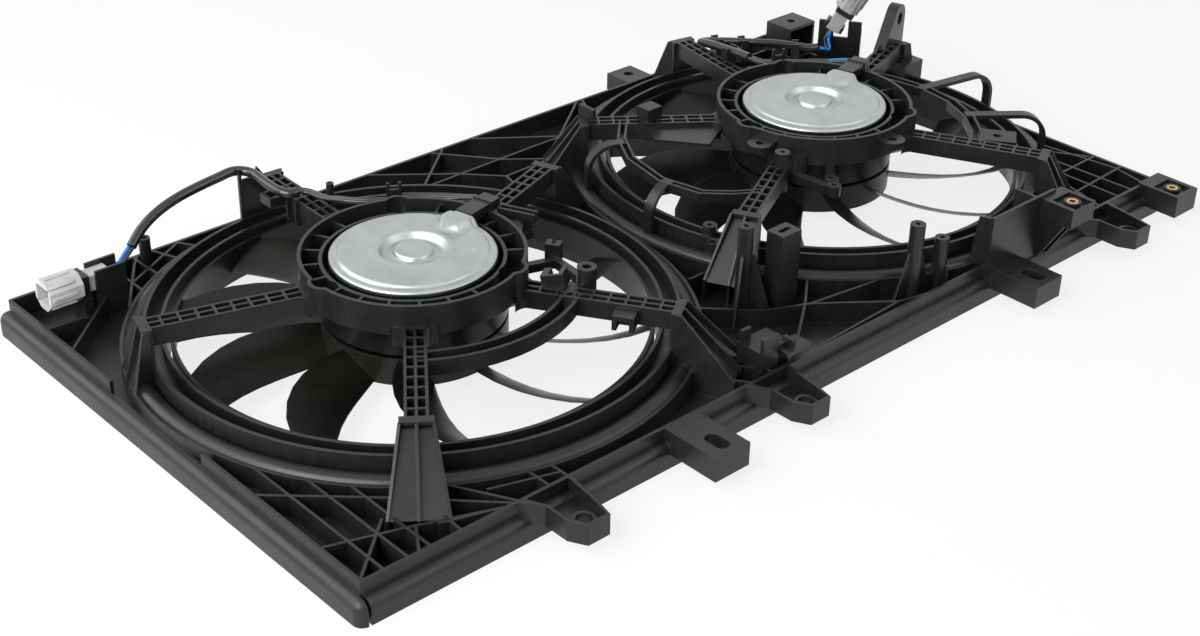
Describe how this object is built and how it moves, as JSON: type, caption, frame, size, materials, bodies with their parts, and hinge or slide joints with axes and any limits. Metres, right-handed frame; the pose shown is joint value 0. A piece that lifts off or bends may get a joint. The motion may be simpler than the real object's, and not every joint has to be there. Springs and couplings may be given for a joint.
{
  "type": "radiator cooling fan",
  "caption": "Electric radiator cooling fan module: ring fans on flat motors, carried by ladder spokes over a ribbed rectangular shroud tray with mounting tabs and lead connectors.",
  "frame": {"origin": "centre of the tray rectangle on the sealing face, the motors upwards", "axes": "+X along the tray towards the second fan, +Y towards the back edge, +Z from the radiator side to the motor side, parallel to both fan shafts"},
  "size_m": [0.748, 0.454, 0.1023],
  "materials": {
    "shroud_plastic": "satin glass filled moulding",
    "insert_brass": "turned",
    "fan_plastic": "satin moulding",
    "fastener_steel": "zinc plated",
    "lamination_steel": "stacked sheet",
    "commutator_copper": "turned",
    "can_paint": "black dip coat",
    "zinc_plate": "bright zinc plated",
    "magnet_ferrite": "sintered",
    "bearing_bronze": "sintered",
    "holder_resin": "moulded",
    "brush_carbon": "pressed carbon",
    "plug_plastic": "moulded",
    "wire_blue": "insulation",
    "wire_black": "insulation",
    "sleeve_black": "glossy tubing",
    "connector_plastic": "moulded"
  },
  "bodies": {
    "root": {"shroud": "shroud_plastic", "thread_inserts": "insert_brass", "motor_can_a": "can_paint", "motor_end_plate_a": "zinc_plate", "magnets_a": "magnet_ferrite", "front_bearing_a": "bearing_bronze", "rear_bearing_a": "bearing_bronze", "brush_holder_a": "holder_resin", "brushes_a": "brush_carbon", "motor_screws_a": "fastener_steel", "terminal_plug_a": "plug_plastic", "blue_wire_a": "wire_blue", "black_wire_a": "wire_black", "loom_sleeve_a": "sleeve_black", "connector_a": "connector_plastic", "connector_clip_a": "plug_plastic", "connector_pins_a": "fastener_steel", "motor_can_b": "can_paint", "motor_end_plate_b": "zinc_plate", "magnets_b": "magnet_ferrite", "front_bearing_b": "bearing_bronze", "rear_bearing_b": "bearing_bronze", "brush_holder_b": "holder_resin", "brushes_b": "brush_carbon", "motor_screws_b": "fastener_steel", "terminal_plug_b": "plug_plastic", "blue_wire_b": "wire_blue", "black_wire_b": "wire_black", "loom_sleeve_b": "sleeve_black", "connector_b": "connector_plastic", "connector_clip_b": "plug_plastic", "connector_pins_b": "fastener_steel"},
    "rotor_a": {"fan_a": "fan_plastic", "fan_nut_a": "fastener_steel", "motor_shaft_a": "fastener_steel", "armature_a": "lamination_steel", "commutator_a": "commutator_copper"},
    "rotor_b": {"fan_b": "fan_plastic", "fan_nut_b": "fastener_steel", "motor_shaft_b": "fastener_steel", "armature_b": "lamination_steel", "commutator_b": "commutator_copper"}
  },
  "joints": [
    {"name": "fan_a_spin", "type": "hinge", "parent": "root", "child": "rotor_a", "pos_m": [-0.18, 0.0025, 0.031], "axis": [0, 0, 1], "continuous": true},
    {"name": "fan_b_spin", "type": "hinge", "parent": "root", "child": "rotor_b", "pos_m": [0.19, -0.0037, 0.031], "axis": [0, 0, 1], "continuous": true}
  ]
}
